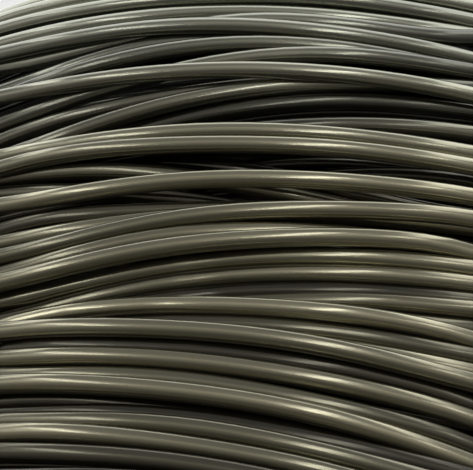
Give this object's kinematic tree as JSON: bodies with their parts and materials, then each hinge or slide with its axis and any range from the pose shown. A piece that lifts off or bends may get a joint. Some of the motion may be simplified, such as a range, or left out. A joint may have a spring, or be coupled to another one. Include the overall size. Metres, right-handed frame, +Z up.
{
  "type": "coil of cold heading wire",
  "caption": "Large loose-wound coil of round drawn steel wire with a clear eye, held by steel straps round its section; raw stock for cold heading.",
  "frame": {"origin": "on the floor at the middle of the eye, below the coil, which stands on its end", "axes": "+Z up, along the eye of the coil; -Y is the side of the coil that the picture shows; +X to the right of that side"},
  "size_m": [0.9838, 0.984, 0.5706],
  "materials": {
    "wire": "satin grey-olive coated drawn wire",
    "strap": "dark blued and waxed steel strapping",
    "strap_seal": "zinc-coated crimped seal"
  },
  "bodies": {
    "root": {"wire_winding": "wire", "strap_1": "strap", "strap_2": "strap", "strap_3": "strap", "strap_4": "strap", "strap_seal_1": "strap_seal", "strap_seal_2": "strap_seal", "strap_seal_3": "strap_seal", "strap_seal_4": "strap_seal"}
  },
  "joints": []
}
